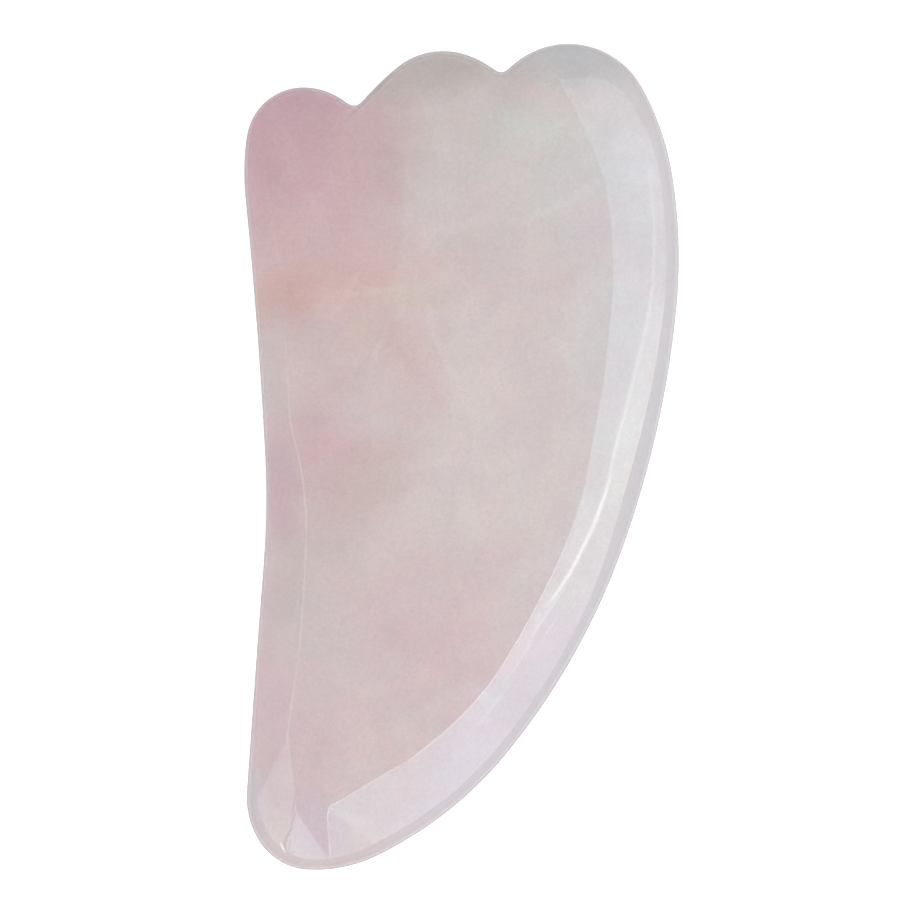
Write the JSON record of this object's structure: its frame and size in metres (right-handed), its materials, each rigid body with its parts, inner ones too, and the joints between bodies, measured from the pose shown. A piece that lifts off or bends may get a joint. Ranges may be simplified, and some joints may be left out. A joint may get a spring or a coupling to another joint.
{
  "type": "gua sha scraper",
  "caption": "Flat hand-held massage scraper of polished rose quartz, with a long convex scraping edge, a hollow grip edge, a blunt tip and a scalloped end.",
  "frame": {"origin": "middle of the outline, on the back face that the scraper lies on", "axes": "+Z through the thickness, from the back face to the front face; +Y along the length, from the blunt tip to the lobed end; +X across the width, from the hollow grip edge to the convex scraping edge"},
  "size_m": [0.058, 0.1099, 0.0065],
  "materials": {
    "rose_quartz": "polished"
  },
  "bodies": {
    "root": {"scraper_stone": "rose_quartz"}
  },
  "joints": []
}
